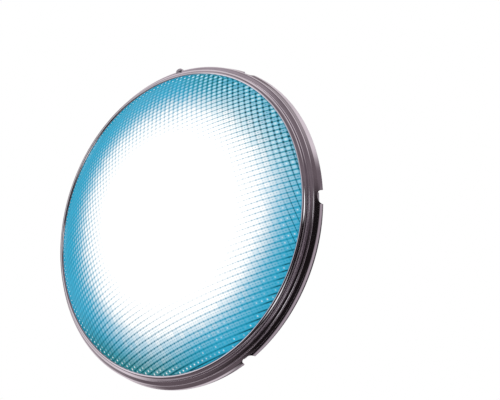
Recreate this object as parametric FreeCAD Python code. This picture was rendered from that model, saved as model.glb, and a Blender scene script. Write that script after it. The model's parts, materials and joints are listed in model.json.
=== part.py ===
import FreeCAD
import Part
import math
import os

# Underwater pool light with a domed glass lens, a slim stainless face ring and a
# deep-drawn housing. Millimetres. The light faces -Y, +Z is up (12 o'clock), and the
# origin is the centre of the plane of the face ring's rear edge, which seats on the niche.

# Face ring
RING_RADIUS = 133.5
RING_SHEET = 1.2
LIP_INNER_RADIUS = 123.0
LIP_FRONT = 14.9
LIP_EDGE = 13.7
WALL_RADIUS = 127.4
FLARE_RADIUS = 131.9
FLARE_FRONT = 4.6
LEDGE_RADIUS = 130.0
LEDGE_FRONT = 9.8
SKIRT_SHOULDER = 8.2
NOTCH_COUNT = 6
NOTCH_WIDTH = 11.0
NOTCH_DEPTH = 5.5

# Lens
DOME_RADIUS = 210.0
DOME_CENTRE = 156.9
GLASS = 6.0
LENS_FLANGE_RADIUS = 125.4
LENS_FLANGE_INNER = 118.0
LENS_BACK = 5.0

# Gasket
GASKET_RADIUS = 126.0
GASKET_FRONT = 12.0
GASKET_BACK = 3.0
GASKET_INNER = 117.5

# Housing
SHELL = 1.2
BOWL_RADIUS = 100.0
BOWL_STRAIGHT = 20.0
BOWL_WAIST = (80.0, 58.0)
BOWL_SHOULDER = (54.0, 86.0)
BOWL_CORNER = (50.5, 90.2)
BOWL_FLOOR_RADIUS = 44.0
BOWL_DEPTH = 92.0
FLANGE_BACK = GASKET_BACK - SHELL
GLAND_HOLE = 9.1

# Clamp hoop behind the housing flange
HOOP_RADIUS = 124.5
HOOP_WIRE = 1.5
HOOP_GAP = 28.0
HOOP_BLOCK = (6.0, 11.0, 8.0)
CLAMP_SCREW_RADIUS = 2.0
CLAMP_SCREW_Y = 5.2
CLAMP_SCREW_Z = -121.5

# Tabs spot-welded inside the ring
TAB_SHEET = 1.0
TAB_RADIUS = 127.3
TAB_FRONT = LEDGE_FRONT - RING_SHEET
CLIP_WIDTH = 10.0
CLIP_FOOT_BACK = 2.7
CLIP_FOOT_REACH = 3.8
HOOK_WIDTH = 24.0
HOOK_FOOT_BACK = 4.6
HOOK_FOOT_REACH = 3.4
TAB_WELD = 0.7

# Pilot screw at 12 o'clock
PILOT_HEIGHT = 130.3
PILOT_SHANK = 1.75
PILOT_HEAD = 2.6
PILOT_HEAD_HEIGHT = 1.8
PILOT_REACH = 18.0
PILOT_THREAD = 1.95
PILOT_THREAD_START = 2.0
PILOT_CLEARANCE = 0.05
POCKET_RADIUS = 3.6
POCKET_BORE = 3.0
WASHER_RADIUS = 2.7
WASHER_THICKNESS = 1.5
WASHER_FRONT = 1.8

# Inside of the light, as depths behind the seat plane
BEZEL_RADIUS = 116.5
BEZEL_WINDOW = 74.0
BEZEL_SHEET = 2.0
BOARD_RADIUS = 72.0
BOARD_FRONT = 17.0
BOARD_THICKNESS = 1.6
PAD_THICKNESS = 0.8
LED_SIDE = 3.5
LED_HEIGHT = 1.5
INNER_LED_RING = 21.0
OUTER_LED_RING = 52.0
OPTIC_HEIGHT = 12.0
OPTIC_FOOT = 4.5
OPTIC_MOUTH = 10.0
OPTIC_CAVITY = 3.2
SINK_RADIUS = 90.0
SINK_BASE = 8.0
FIN_HEIGHT = 25.0
FIN_THICKNESS = 2.0
FIN_PITCH = 10.0
FIN_REACH = 74.0
BRACKET_RING = 84.0
BRACKET_WIDTH = 14.0
BRACKET_INNER = 78.0
BRACKET_SHEET = 3.0
BOARD_SCREW_RING = 36.0
SCREW_RADIUS = 1.5
SCREW_HEAD = 2.9
SCREW_HEAD_HEIGHT = 1.8
DRIVER_FRONT = 74.0
DRIVER_SIZE = (88.0, 70.0)
DRIVER_HOLES = (30.0, 24.0)
SPACER_RADIUS = 3.5
GROUND_PLACE = (14.0, -32.0)

# Cable gland at the centre of the back
GLAND_RADIUS = 9.0
GLAND_FLANGE = 13.0
GLAND_BORE = 5.6
GROMMET_RADIUS = 7.2
CABLE_RADIUS = 5.3
GLAND_SEAT = BOWL_DEPTH + 8.0
GLAND_END = BOWL_DEPTH + 20.0
GROMMET_END = BOWL_DEPTH + 22.0
CAP_END = BOWL_DEPTH + 26.0
HEX_FLATS = 26.0

FLOOR = BOWL_DEPTH - SHELL
PAD_FRONT = BOARD_FRONT + BOARD_THICKNESS
SINK_FRONT = PAD_FRONT + PAD_THICKNESS
FIN_FRONT = SINK_FRONT + SINK_BASE
BACKWARD = FreeCAD.Vector(0, 1, 0)
ORIGIN = FreeCAD.Vector(0, 0, 0)


def point(x, y, z):
    return FreeCAD.Vector(x, y, z)


def disc(radius, y_low, y_high, x=0.0, z=0.0):
    """Cylinder along Y between two depths."""
    return Part.makeCylinder(radius, y_high - y_low, point(x, y_low, z), BACKWARD)


def tube(radius, bore, y_low, y_high, x=0.0, z=0.0):
    return disc(radius, y_low, y_high, x, z).cut(disc(bore, y_low, y_high, x, z))


def block(x_span, y_span, z_span):
    corner = point(x_span[0], y_span[0], z_span[0])
    width = x_span[1] - x_span[0]
    depth = y_span[1] - y_span[0]
    height = z_span[1] - z_span[0]
    return Part.makeBox(width, depth, height, corner)


def lathe(start, *steps):
    """Revolve a (radius, y) outline about the Y axis; a pair of points is an arc."""
    here = point(start[0], start[1], 0)
    first = here
    edges = []
    for step in steps:
        if isinstance(step[0], tuple):
            middle = point(step[0][0], step[0][1], 0)
            there = point(step[1][0], step[1][1], 0)
            edges.append(Part.Arc(here, middle, there).toShape())
        else:
            there = point(step[0], step[1], 0)
            edges.append(Part.LineSegment(here, there).toShape())
        here = there
    edges.append(Part.LineSegment(here, first).toShape())
    face = Part.Face(Part.Wire(edges))
    return face.revolve(ORIGIN, BACKWARD, 360)


def spun(shape, degrees):
    """Copy of a shape turned about the light's axis."""
    copy = shape.copy()
    copy.rotate(ORIGIN, BACKWARD, degrees)
    return copy


def around(shape, count, first=0.0):
    """Evenly spaced copies of a shape about the light's axis."""
    return [spun(shape, first + 360.0 * turn / count) for turn in range(count)]


def polar(radius, degrees):
    angle = math.radians(degrees)
    return radius * math.cos(angle), radius * math.sin(angle)


def hexagon(flats, y_low, y_high):
    """Hexagonal bar along Y."""
    corner = flats / math.sqrt(3)
    places = [polar(corner, 60 * turn) for turn in range(7)]
    outline = Part.makePolygon([point(x, y_low, z) for x, z in places])
    return Part.Face(outline).extrude(point(0, y_high - y_low, 0))


def notch():
    """Round-ended cutter through the skirt at 12 o'clock."""
    radius = NOTCH_WIDTH / 2
    straight = block((-radius, radius), (radius - NOTCH_DEPTH, 1), (RING_RADIUS - 6, RING_RADIUS + 1))
    end_place = point(0, radius - NOTCH_DEPTH, RING_RADIUS - 6)
    end = Part.makeCylinder(radius, 7, end_place, point(0, 0, 1))
    return straight.fuse(end)


def face_ring():
    """Stamped sheet ring: rolled lip, wall, ledge and flared skirt with six notches."""
    ring = lathe(
        (LIP_INNER_RADIUS, -LIP_EDGE),
        ((124.8, -LIP_FRONT), (126.6, -14.0)),
        ((127.2, -13.4), (WALL_RADIUS, -12.5)),
        (WALL_RADIUS, -10.6),
        ((127.7, -10.0), (128.2, -LEDGE_FRONT)),
        (LEDGE_RADIUS, -LEDGE_FRONT),
        ((131.0, -9.3), (131.4, -SKIRT_SHOULDER)),
        (FLARE_RADIUS, -FLARE_FRONT),
        (RING_RADIUS, 0),
        (RING_RADIUS - RING_SHEET, 0),
        (FLARE_RADIUS - RING_SHEET, -FLARE_FRONT + 0.2),
        (130.2, -7.7),
        ((130.0, -8.3), (129.5, -TAB_FRONT)),
        (WALL_RADIUS - RING_SHEET, -TAB_FRONT),
        (WALL_RADIUS - RING_SHEET, -12.1),
        ((125.2, -13.3), (123.9, -13.0)),
    )
    pocket = disc(POCKET_RADIUS, -TAB_FRONT, 0, z=PILOT_HEIGHT)
    pocket = pocket.cut(disc(WALL_RADIUS - RING_SHEET + 0.2, -TAB_FRONT, 0))
    ring = ring.fuse(pocket)
    seat_back = RING_SHEET - TAB_FRONT
    ring = ring.cut(disc(POCKET_BORE, seat_back, 1, z=PILOT_HEIGHT))
    ring = ring.cut(disc(PILOT_SHANK + 0.3, -20, 1, z=PILOT_HEIGHT))
    ring = ring.cut(disc(PILOT_HEAD + 0.15, -20, -TAB_FRONT, z=PILOT_HEIGHT))
    for cutter in around(notch(), NOTCH_COUNT, 30):
        ring = ring.cut(cutter)
    return ring.removeSplitter()


def welded_tab(width, foot_back, foot_z):
    """Bent sheet tab at 12 o'clock, welded under the ledge, with a foot behind."""
    half = width / 2
    outside = TAB_RADIUS + TAB_SHEET
    leg = block((-half, half), (-TAB_FRONT, foot_back), (TAB_RADIUS, outside))
    weld_flange = block((-half, half), (-TAB_FRONT, TAB_SHEET - TAB_FRONT), (outside, outside + TAB_WELD))
    foot = block((-half, half), (foot_back - TAB_SHEET, foot_back), foot_z)
    return leg.fuse([weld_flange, foot]).removeSplitter()


def ring_clips():
    """Hooks that keep the clamp hoop tight behind the housing flange."""
    foot_z = (TAB_RADIUS - CLIP_FOOT_REACH, TAB_RADIUS)
    clip = welded_tab(CLIP_WIDTH, CLIP_FOOT_BACK, foot_z)
    return Part.makeCompound(around(clip, NOTCH_COUNT, 30))


def bottom_hook():
    """Tab at 6 o'clock that hooks behind the lower edge of the niche."""
    outside = TAB_RADIUS + TAB_SHEET
    foot_z = (outside, outside + HOOK_FOOT_REACH)
    return spun(welded_tab(HOOK_WIDTH, HOOK_FOOT_BACK, foot_z), 180)


def pilot_screw():
    """Slotted captive screw that holds the light in its niche."""
    head_front = -TAB_FRONT - PILOT_HEAD_HEIGHT
    head = disc(PILOT_HEAD, head_front, -TAB_FRONT, z=PILOT_HEIGHT)
    rim = [edge for edge in head.Edges if abs(edge.BoundBox.YMax - head_front) < 0.01]
    head = head.makeFillet(0.5, rim)
    shank = disc(PILOT_SHANK, -TAB_FRONT, PILOT_THREAD_START, z=PILOT_HEIGHT)
    thread = disc(PILOT_THREAD, PILOT_THREAD_START, PILOT_REACH, z=PILOT_HEIGHT)
    tip = Part.makeCone(PILOT_THREAD, 1.0, 2, point(0, PILOT_REACH, PILOT_HEIGHT), BACKWARD)
    slot_z = (PILOT_HEIGHT - 0.35, PILOT_HEIGHT + 0.35)
    slot = block((-PILOT_HEAD, PILOT_HEAD), (head_front - 1, head_front + 0.9), slot_z)
    return head.fuse([shank, thread, tip]).cut(slot)


def pilot_screw_washer():
    """Gum washer gripping the shank, which keeps the screw in the ring."""
    bore = PILOT_SHANK + PILOT_CLEARANCE
    back = WASHER_THICKNESS - WASHER_FRONT
    return tube(WASHER_RADIUS, bore, -WASHER_FRONT, back, z=PILOT_HEIGHT)


def lens():
    """Spherical glass dome with a flat-backed flange."""
    centre = point(0, DOME_CENTRE, 0)
    ball = Part.makeSphere(DOME_RADIUS, centre)
    envelope = disc(LENS_FLANGE_RADIUS, -DOME_RADIUS, -LENS_BACK)
    hollow = Part.makeSphere(DOME_RADIUS - GLASS, centre)
    hollow = hollow.common(disc(LENS_FLANGE_INNER, -DOME_RADIUS, 0))
    return ball.common(envelope).cut(hollow)


def lens_gasket():
    """Silicone channel over the edge of the lens flange."""
    body = tube(GASKET_RADIUS, GASKET_INNER, -GASKET_FRONT, -GASKET_BACK)
    glass_room = disc(LENS_FLANGE_RADIUS, -DOME_RADIUS, -LENS_BACK)
    dome = Part.makeSphere(DOME_RADIUS, point(0, DOME_CENTRE, 0))
    return body.cut(glass_room.common(dome))


def bowl(inset, front):
    """Solid of revolution with the bowl's outline, drawn in by a sheet thickness."""
    floor = BOWL_DEPTH - inset
    return lathe(
        (0, floor),
        (BOWL_FLOOR_RADIUS, floor),
        (drawn_in(BOWL_CORNER, inset), drawn_in(BOWL_SHOULDER, inset)),
        (drawn_in(BOWL_WAIST, inset), (BOWL_RADIUS - inset, BOWL_STRAIGHT)),
        (BOWL_RADIUS - inset, front),
        (0, front),
    )


def drawn_in(corner, inset):
    """Move an outline point of the bowl's side inwards at 45 degrees."""
    step = inset * math.sqrt(0.5)
    return corner[0] - step, corner[1] - step


def housing():
    """Deep-drawn bowl with a flange under the lens gasket and a hole for the gland."""
    flange = disc(GASKET_RADIUS, -GASKET_BACK, -FLANGE_BACK)
    shell = bowl(0, -GASKET_BACK).fuse(flange)
    shell = shell.cut(bowl(SHELL, -GASKET_BACK - 1))
    return shell.cut(disc(GLAND_HOLE, FLOOR - 1, BOWL_DEPTH + 1)).removeSplitter()


def clamp_blocks():
    """Drilled end blocks of the clamp hoop, either side of 6 o'clock."""
    width, depth, height = HOOP_BLOCK
    y_span = (-FLANGE_BACK, depth - FLANGE_BACK)
    z_span = (CLAMP_SCREW_Z - height / 2, CLAMP_SCREW_Z + height / 2)
    right = block((HOOP_GAP / 2 - width, HOOP_GAP / 2), y_span, z_span)
    left = block((-HOOP_GAP / 2, width - HOOP_GAP / 2), y_span, z_span)
    return [left, right]


def tension_clamp():
    """Wire hoop behind the housing flange, ended by two drilled blocks."""
    hoop = Part.makeTorus(HOOP_RADIUS, HOOP_WIRE, point(0, HOOP_WIRE - FLANGE_BACK, 0), BACKWARD)
    half_gap = HOOP_GAP / 2 - 1
    gap = block((-half_gap, half_gap), (-10, 10), (-140, -100))
    hoop = hoop.cut(gap).fuse(clamp_blocks())
    bore_start = point(-HOOP_GAP, CLAMP_SCREW_Y, CLAMP_SCREW_Z)
    bore = Part.makeCylinder(CLAMP_SCREW_RADIUS + 0.2, 2 * HOOP_GAP, bore_start, point(1, 0, 0))
    return hoop.cut(bore)


def clamp_screw():
    """Screw that draws the two ends of the hoop together."""
    start = -HOOP_GAP / 2
    along = point(1, 0, 0)
    shank_place = point(start, CLAMP_SCREW_Y, CLAMP_SCREW_Z)
    shank = Part.makeCylinder(CLAMP_SCREW_RADIUS, HOOP_GAP + 6, shank_place, along)
    head = Part.makeCylinder(3.6, 3, point(start - 3, CLAMP_SCREW_Y, CLAMP_SCREW_Z), along)
    slot_y = (CLAMP_SCREW_Y - 0.5, CLAMP_SCREW_Y + 0.5)
    slot = block((start - 4, start - 1.8), slot_y, (CLAMP_SCREW_Z - 4, CLAMP_SCREW_Z + 4))
    return head.fuse(shank).cut(slot)


def clamp_nut():
    """Square nut on the end of the clamp screw."""
    start = HOOP_GAP / 2
    y_span = (CLAMP_SCREW_Y - 3.5, CLAMP_SCREW_Y + 3.5)
    nut = block((start, start + 3.2), y_span, (CLAMP_SCREW_Z - 3.5, CLAMP_SCREW_Z + 3.5))
    bore_place = point(start, CLAMP_SCREW_Y, CLAMP_SCREW_Z)
    return nut.cut(Part.makeCylinder(CLAMP_SCREW_RADIUS, 4, bore_place, point(1, 0, 0)))


def inner_bezel():
    """Dark moulded cone that hides the space around the light-emitting board."""
    return lathe(
        (BEZEL_RADIUS, -GASKET_BACK),
        (BEZEL_RADIUS, -GASKET_BACK - BEZEL_SHEET),
        (96.0, -GASKET_BACK - BEZEL_SHEET),
        (BEZEL_WINDOW, 8.0),
        (BEZEL_WINDOW, BOARD_FRONT + 1.0),
        (BEZEL_WINDOW + BEZEL_SHEET, BOARD_FRONT + 1.0),
        (BEZEL_WINDOW + BEZEL_SHEET, 9.2),
        (95.0, -GASKET_BACK),
    )


def screw_places():
    return [polar(BOARD_SCREW_RING, 45 + 90 * turn) for turn in range(4)]


def led_board():
    """Round metal-core board."""
    board = disc(BOARD_RADIUS, BOARD_FRONT, PAD_FRONT)
    for x, z in screw_places():
        board = board.cut(disc(SCREW_RADIUS + 0.2, BOARD_FRONT, PAD_FRONT, x, z))
    return board


def thermal_pad():
    """Soft pad between the board and the heat sink."""
    pad = disc(BOARD_RADIUS - 1, PAD_FRONT, SINK_FRONT)
    for x, z in screw_places():
        pad = pad.cut(disc(SCREW_RADIUS + 0.2, PAD_FRONT, SINK_FRONT, x, z))
    return pad


def led_places():
    """Emitter positions by colour: white inside, three colours in turn outside."""
    white = [polar(INNER_LED_RING, 90 * turn) for turn in range(4)]
    outer = [polar(OUTER_LED_RING, 30 * turn) for turn in range(12)]
    colours = {"white_leds": white}
    for shift, name in enumerate(("red_leds", "green_leds", "blue_leds")):
        colours[name] = outer[shift::3]
    return colours


def led_group(places):
    """Square emitters standing on the board."""
    half = LED_SIDE / 2
    y_span = (BOARD_FRONT - LED_HEIGHT, BOARD_FRONT)
    leds = [block((x - half, x + half), y_span, (z - half, z + half)) for x, z in places]
    return Part.makeCompound(leds)


def led_optics():
    """Conical collimators, one over each emitter."""
    optics = []
    for places in led_places().values():
        for x, z in places:
            foot = point(x, BOARD_FRONT, z)
            cone = Part.makeCone(OPTIC_FOOT, OPTIC_MOUTH, OPTIC_HEIGHT, foot, point(0, -1, 0))
            cavity = disc(OPTIC_CAVITY, BOARD_FRONT - LED_HEIGHT - 0.5, BOARD_FRONT, x, z)
            optics.append(cone.cut(cavity))
    return Part.makeCompound(optics)


def pan_screw(x, z, seat, length):
    """Small pan-head screw whose head lies in front of its seat."""
    head = disc(SCREW_HEAD, seat - SCREW_HEAD_HEIGHT, seat, x, z)
    shank = disc(SCREW_RADIUS, seat, seat + length, x, z)
    return head.fuse(shank).removeSplitter()


def led_board_screws():
    screws = [pan_screw(x, z, BOARD_FRONT, 8) for x, z in screw_places()]
    return Part.makeCompound(screws)


def bracket_places():
    return [polar(BRACKET_RING, 45 + 90 * turn) for turn in range(4)]


def heat_sink():
    """Finned aluminium casting behind the board."""
    sink = disc(SINK_RADIUS, SINK_FRONT, FIN_FRONT)
    fin_row = int(FIN_REACH / FIN_PITCH)
    for step in range(-fin_row, fin_row + 1):
        x = step * FIN_PITCH
        reach = math.sqrt(FIN_REACH ** 2 - x ** 2)
        x_span = (x - FIN_THICKNESS / 2, x + FIN_THICKNESS / 2)
        y_span = (FIN_FRONT, FIN_FRONT + FIN_HEIGHT)
        sink = sink.fuse(block(x_span, y_span, (-reach, reach)))
    for x, z in screw_places():
        sink = sink.cut(disc(SCREW_RADIUS, SINK_FRONT, SINK_FRONT + 6, x, z))
    for x, z in bracket_places():
        sink = sink.cut(disc(SCREW_RADIUS + 0.2, SINK_FRONT, FIN_FRONT, x, z))
    return sink.removeSplitter()


def heat_sink_brackets():
    """Gusseted ledges welded to the housing wall, which carry the heat sink."""
    half = BRACKET_WIDTH / 2
    z_span = (BRACKET_INNER, BOWL_RADIUS)
    ledge = block((-half, half), (FIN_FRONT, FIN_FRONT + BRACKET_SHEET), z_span)
    gusset = block((-1.5, 1.5), (FIN_FRONT, FIN_FRONT + 12), (BRACKET_RING + 3, BOWL_RADIUS))
    bracket = ledge.fuse(gusset)
    bracket = bracket.cut(disc(SCREW_RADIUS + 0.05, FIN_FRONT, FIN_FRONT + 12, z=BRACKET_RING))
    bracket = bracket.common(bowl(SHELL, 0)).removeSplitter()
    return Part.makeCompound(around(bracket, 4, 45))


def heat_sink_screws():
    screws = [pan_screw(x, z, SINK_FRONT, SINK_BASE + 5) for x, z in bracket_places()]
    return Part.makeCompound(screws)


def driver_places():
    x, z = DRIVER_HOLES
    return [(-x, -z), (-x, z), (x, -z), (x, z)]


def driver_board():
    """Circuit board that powers and sequences the colours."""
    half_x = DRIVER_SIZE[0] / 2
    half_z = DRIVER_SIZE[1] / 2
    y_span = (DRIVER_FRONT, DRIVER_FRONT + BOARD_THICKNESS)
    board = block((-half_x, half_x), y_span, (-half_z, half_z))
    for x, z in driver_places():
        board = board.cut(disc(SCREW_RADIUS + 0.2, y_span[0], y_span[1], x, z))
    return board


def driver_spacers():
    """Threaded spacers between the driver board and the housing floor."""
    start = DRIVER_FRONT + BOARD_THICKNESS
    spacers = [tube(SPACER_RADIUS, SCREW_RADIUS, start, FLOOR, x, z) for x, z in driver_places()]
    return Part.makeCompound(spacers)


def driver_screws():
    screws = [pan_screw(x, z, DRIVER_FRONT, 9) for x, z in driver_places()]
    return Part.makeCompound(screws)


def driver_transformer():
    """Wound transformer: a bobbin between the two halves of its core."""
    core = block((-36, -8), (DRIVER_FRONT - 14, DRIVER_FRONT), (-12, 12))
    winding = block((-31, -13), (DRIVER_FRONT - 13, DRIVER_FRONT - 1), (-17, 17))
    return core.fuse(winding)


def driver_capacitors():
    """Can capacitors standing on the driver board."""
    places = [(8, -18), (24, -8), (37, 4)]
    cans = [disc(6.0, DRIVER_FRONT - 13, DRIVER_FRONT, x, z) for x, z in places]
    return Part.makeCompound(cans)


def terminal_block():
    """Three-way block for the cable's conductors."""
    body = block((2, 20), (DRIVER_FRONT - 9, DRIVER_FRONT), (7, 33))
    for z in (11.5, 20, 28.5):
        entry = Part.makeCylinder(2.2, 8, point(12, DRIVER_FRONT - 4.5, z), point(1, 0, 0))
        body = body.cut(entry)
    return body


def ground_stud():
    """Stud welded to the housing floor."""
    x, z = GROUND_PLACE
    return disc(2.0, FLOOR - 12, FLOOR, x, z)


def ground_lug():
    """Ring terminal on the ground stud."""
    x, z = GROUND_PLACE
    ring = disc(4.5, FLOOR - 4, FLOOR - 3, x, z)
    tail = block((x - 14, x), (FLOOR - 4, FLOOR - 3), (z - 2.5, z + 2.5))
    return ring.fuse(tail).cut(disc(2.0, FLOOR - 4, FLOOR - 3, x, z)).removeSplitter()


def ground_nuts():
    """Nuts either side of the ring terminal."""
    x, z = GROUND_PLACE
    lower = tube(3.6, 2.0, FLOOR - 3, FLOOR, x, z)
    upper = tube(3.6, 2.0, FLOOR - 7.2, FLOOR - 4, x, z)
    return Part.makeCompound([lower, upper])


def gland_body():
    """Threaded fitting clamped through the housing floor."""
    stem = disc(GLAND_RADIUS, FLOOR - 2.4, GLAND_END)
    flange = disc(GLAND_FLANGE, FLOOR - 2.4, FLOOR)
    body = stem.fuse(flange)
    body = body.cut(disc(GLAND_BORE, FLOOR - 3, GLAND_SEAT))
    return body.cut(disc(GROMMET_RADIUS, GLAND_SEAT, GLAND_END)).removeSplitter()


def gland_washer():
    """Sealing washer between the housing floor and the lock nut."""
    return tube(GLAND_FLANGE, GLAND_RADIUS, BOWL_DEPTH, BOWL_DEPTH + 1.6)


def gland_locknut():
    body = hexagon(HEX_FLATS, BOWL_DEPTH + 1.6, BOWL_DEPTH + 6.6)
    return body.cut(disc(GLAND_RADIUS, BOWL_DEPTH, GLAND_END))


def gland_grommet():
    """Rubber sleeve that is squeezed around the cable."""
    return tube(GROMMET_RADIUS, CABLE_RADIUS, GLAND_SEAT, GROMMET_END)


def gland_cap():
    """Compression nut over the grommet."""
    body = hexagon(HEX_FLATS, GLAND_SEAT + 1, CAP_END)
    body = body.cut(disc(GLAND_RADIUS, GLAND_SEAT, GROMMET_END))
    body = body.cut(disc(GLAND_BORE + 0.4, GLAND_SEAT, CAP_END + 1))
    chamfer = Part.makeCone(HEX_FLATS, HEX_FLATS / 2 - 0.5, HEX_FLATS / 2 + 0.5,
                            point(0, CAP_END - HEX_FLATS / 2 - 0.5, 0), BACKWARD)
    return body.common(chamfer)


def led_nodes():
    return {name: led_group(places) for name, places in led_places().items()}


def main():
    nodes = {
        "face_ring": face_ring(),
        "ring_clips": ring_clips(),
        "bottom_hook": bottom_hook(),
        "pilot_screw": pilot_screw(),
        "pilot_screw_washer": pilot_screw_washer(),
        "lens": lens(),
        "lens_gasket": lens_gasket(),
        "housing": housing(),
        "tension_clamp": tension_clamp(),
        "clamp_screw": clamp_screw(),
        "clamp_nut": clamp_nut(),
        "inner_bezel": inner_bezel(),
        "led_board": led_board(),
        "led_board_screws": led_board_screws(),
        "led_optics": led_optics(),
        "thermal_pad": thermal_pad(),
        "heat_sink": heat_sink(),
        "heat_sink_brackets": heat_sink_brackets(),
        "heat_sink_screws": heat_sink_screws(),
        "driver_board": driver_board(),
        "driver_spacers": driver_spacers(),
        "driver_screws": driver_screws(),
        "driver_transformer": driver_transformer(),
        "driver_capacitors": driver_capacitors(),
        "terminal_block": terminal_block(),
        "ground_stud": ground_stud(),
        "ground_lug": ground_lug(),
        "ground_nuts": ground_nuts(),
        "gland_body": gland_body(),
        "gland_washer": gland_washer(),
        "gland_locknut": gland_locknut(),
        "gland_grommet": gland_grommet(),
        "gland_cap": gland_cap(),
    }
    nodes.update(led_nodes())
    os.makedirs("parts", exist_ok=True)
    for name, shape in nodes.items():
        shape.exportStep(f"parts/{name}.step")


main()
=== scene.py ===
"""Underwater pool light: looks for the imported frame, laid out as an add-on."""

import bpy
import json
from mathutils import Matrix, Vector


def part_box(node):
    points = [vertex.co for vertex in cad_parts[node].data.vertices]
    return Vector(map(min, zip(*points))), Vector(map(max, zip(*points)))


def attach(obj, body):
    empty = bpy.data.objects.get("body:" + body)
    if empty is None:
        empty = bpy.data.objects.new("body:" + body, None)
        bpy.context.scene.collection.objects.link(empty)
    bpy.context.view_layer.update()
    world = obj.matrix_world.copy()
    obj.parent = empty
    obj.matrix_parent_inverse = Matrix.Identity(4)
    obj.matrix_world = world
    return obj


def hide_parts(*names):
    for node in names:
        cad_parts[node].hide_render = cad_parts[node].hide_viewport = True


bl_info = {
    "name": "Underwater pool light",
    "version": (1, 0, 0),
    "blender": (4, 5, 0),
    "location": "View3D > Sidebar > Pool light",
    "description": "Builds the glass, polished ring, bowl and fittings of an underwater pool light",
    "category": "Object",
}

import json
import math

import bmesh
import bpy
import numpy as np
from bpy.props import FloatProperty, FloatVectorProperty, IntProperty, PointerProperty
from mathutils import Matrix, Vector

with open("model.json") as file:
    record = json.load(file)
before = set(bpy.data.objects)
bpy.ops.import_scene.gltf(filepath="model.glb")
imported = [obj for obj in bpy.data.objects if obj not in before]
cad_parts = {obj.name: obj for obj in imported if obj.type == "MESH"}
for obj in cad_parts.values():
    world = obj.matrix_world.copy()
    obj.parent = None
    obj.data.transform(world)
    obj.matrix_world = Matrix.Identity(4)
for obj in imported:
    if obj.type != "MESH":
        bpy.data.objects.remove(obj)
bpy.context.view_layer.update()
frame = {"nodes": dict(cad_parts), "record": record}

MM = 0.001
BACKWARD = (0.0, 1.0, 0.0)
FULL_TURN = 2 * math.pi
MERGE_DISTANCE = 0.000005
SHARP_DEGREES = 35

LENS_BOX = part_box("lens")
RING_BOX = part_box("face_ring")
GLAND_CAP_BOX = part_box("gland_cap")
LOCKNUT_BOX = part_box("gland_locknut")
CLAMP_SCREW_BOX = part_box("clamp_screw")
PILOT_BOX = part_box("pilot_screw")


class PoolLightSizes(bpy.types.PropertyGroup):
    """Sizes a user would change."""

    dome_radius: FloatProperty(
        name="Dome radius", description="Radius of the sphere the lens is part of",
        default=0.210, unit="LENGTH",
    )
    cell_pitch: FloatProperty(
        name="Cell pitch", description="Width of one moulded lens cell",
        default=0.00405, unit="LENGTH",
    )
    cell_turn: FloatProperty(
        name="Cell turn", description="Turn of the cell rows from level",
        default=math.radians(17.5), subtype="ANGLE",
    )
    cell_relief: FloatProperty(
        name="Cell relief", description="Height of a cell's crown above its grooves",
        default=0.00035, unit="LENGTH",
    )
    notch_width: FloatProperty(
        name="Notch width", description="Width of a notch in the ring's skirt",
        default=0.011, unit="LENGTH",
    )
    notch_count: IntProperty(
        name="Notches", description="Notches around the ring", default=6, min=1,
    )
    ring_segments: IntProperty(
        name="Ring segments", description="Facets around the polished ring", default=288, min=48,
    )


class PoolLightColours(bpy.types.PropertyGroup):
    """Colours a user would change."""

    glow_white: FloatVectorProperty(
        name="Glow white", description="Middle of the lit lens", subtype="COLOR",
        default=(1.0, 1.0, 1.0), min=0, max=1,
    )
    glow_blue: FloatVectorProperty(
        name="Water blue", description="Lit lens towards its edge", subtype="COLOR",
        default=(0.022, 0.335, 0.525), min=0, max=1,
    )
    glow_deep: FloatVectorProperty(
        name="Deep teal", description="Lit lens at the shaded edge", subtype="COLOR",
        default=(0.014, 0.205, 0.235), min=0, max=1,
    )
    glow_unlit: FloatVectorProperty(
        name="Unlit cells", description="Corners of the cells that no light reaches", subtype="COLOR",
        default=(0.004, 0.035, 0.050), min=0, max=1,
    )
    polished_steel: FloatVectorProperty(
        name="Polished steel", description="Face ring", subtype="COLOR",
        default=(0.74, 0.71, 0.75), min=0, max=1,
    )
    satin_steel: FloatVectorProperty(
        name="Satin steel", description="Housing and pressed parts", subtype="COLOR",
        default=(0.56, 0.57, 0.59), min=0, max=1,
    )


# ---------------------------------------------------------------- modelling helpers


def clear_selection():
    if bpy.context.object and bpy.context.object.mode != "OBJECT":
        bpy.ops.object.mode_set(mode="OBJECT")
    bpy.ops.object.select_all(action="DESELECT")


def only(piece):
    clear_selection()
    piece.select_set(True)
    bpy.context.view_layer.objects.active = piece


def settle(piece):
    """Put a piece's place in its mesh."""
    only(piece)
    bpy.ops.object.transform_apply(location=True, rotation=True, scale=True)


def smooth(piece, degrees=SHARP_DEGREES):
    only(piece)
    bpy.ops.object.shade_smooth_by_angle(angle=math.radians(degrees))


def tidy_faces(piece):
    """Merge doubles and turn the faces outwards."""
    only(piece)
    bpy.ops.object.mode_set(mode="EDIT")
    bpy.ops.mesh.select_all(action="SELECT")
    bpy.ops.mesh.remove_doubles(threshold=MERGE_DISTANCE)
    bpy.ops.mesh.normals_make_consistent(inside=False)
    bpy.ops.object.mode_set(mode="OBJECT")


def apply_modifier(piece, kind, name, **settings):
    only(piece)
    modifier = piece.modifiers.new(name, kind)
    for key, value in settings.items():
        setattr(modifier, key, value)
    bpy.ops.object.modifier_apply(modifier=name)


def ease_edges(piece, width):
    apply_modifier(
        piece, "BEVEL", "eased edges", width=width, segments=2,
        limit_method="ANGLE", angle_limit=math.radians(SHARP_DEGREES), use_clamp_overlap=True,
    )


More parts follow.
